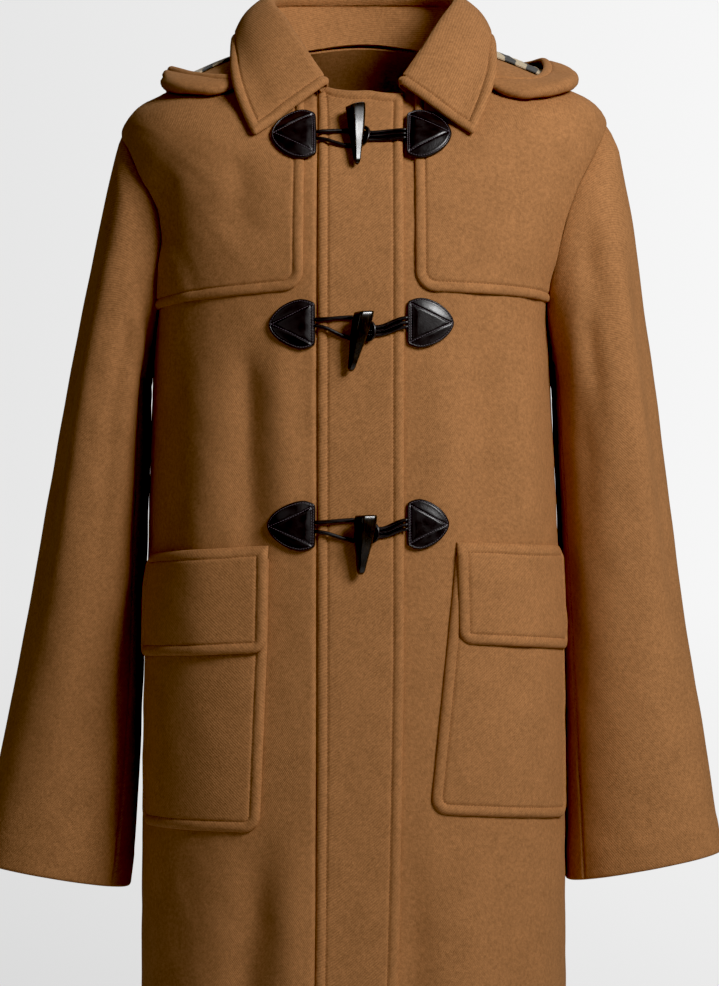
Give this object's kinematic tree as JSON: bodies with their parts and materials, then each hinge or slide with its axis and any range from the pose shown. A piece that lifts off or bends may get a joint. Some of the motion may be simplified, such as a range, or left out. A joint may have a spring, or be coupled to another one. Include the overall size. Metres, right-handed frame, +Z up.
{
  "type": "duffle coat",
  "caption": "Knee-length duffle coat in camel wool, as worn: hollow body and sleeves, folded collar, hood down on the back, storm yokes, flapped pockets, toggles on leather tabs.",
  "frame": {"origin": "between the wearer's shoulders, level with the side of the neckline", "axes": "+X towards the wearer's left, +Y towards the back, +Z up"},
  "size_m": [0.6834, 0.3652, 1.0702],
  "materials": {
    "camel_wool": "thick napped wool twill, camel brown, topstitched edges",
    "striped_lining": "wool lining in broad charcoal and cream stripes",
    "brown_leather": "padded glossy leather, nearly black brown",
    "dark_horn": "smooth dark horn"
  },
  "bodies": {
    "root": {"back": "camel_wool", "back_yoke": "camel_wool", "front_right": "camel_wool", "front_left": "camel_wool", "placket": "camel_wool", "yoke_right": "camel_wool", "yoke_left": "camel_wool", "pocket_right": "camel_wool", "pocket_left": "camel_wool", "flap_right": "camel_wool", "flap_left": "camel_wool", "sleeve_right_top": "camel_wool", "sleeve_right_under": "camel_wool", "sleeve_left_top": "camel_wool", "sleeve_left_under": "camel_wool", "collar": "camel_wool", "collar_stand": "camel_wool", "hood_right": "camel_wool", "hood_left": "camel_wool", "hood_lining": "striped_lining", "tab_right_1": "brown_leather", "tab_right_2": "brown_leather", "tab_right_3": "brown_leather", "tab_left_1": "brown_leather", "tab_left_2": "brown_leather", "tab_left_3": "brown_leather", "loop_1": "brown_leather", "loop_2": "brown_leather", "loop_3": "brown_leather", "toggle_cord_1": "brown_leather", "toggle_cord_2": "brown_leather", "toggle_cord_3": "brown_leather", "toggle_1": "dark_horn", "toggle_2": "dark_horn", "toggle_3": "dark_horn"}
  },
  "joints": []
}
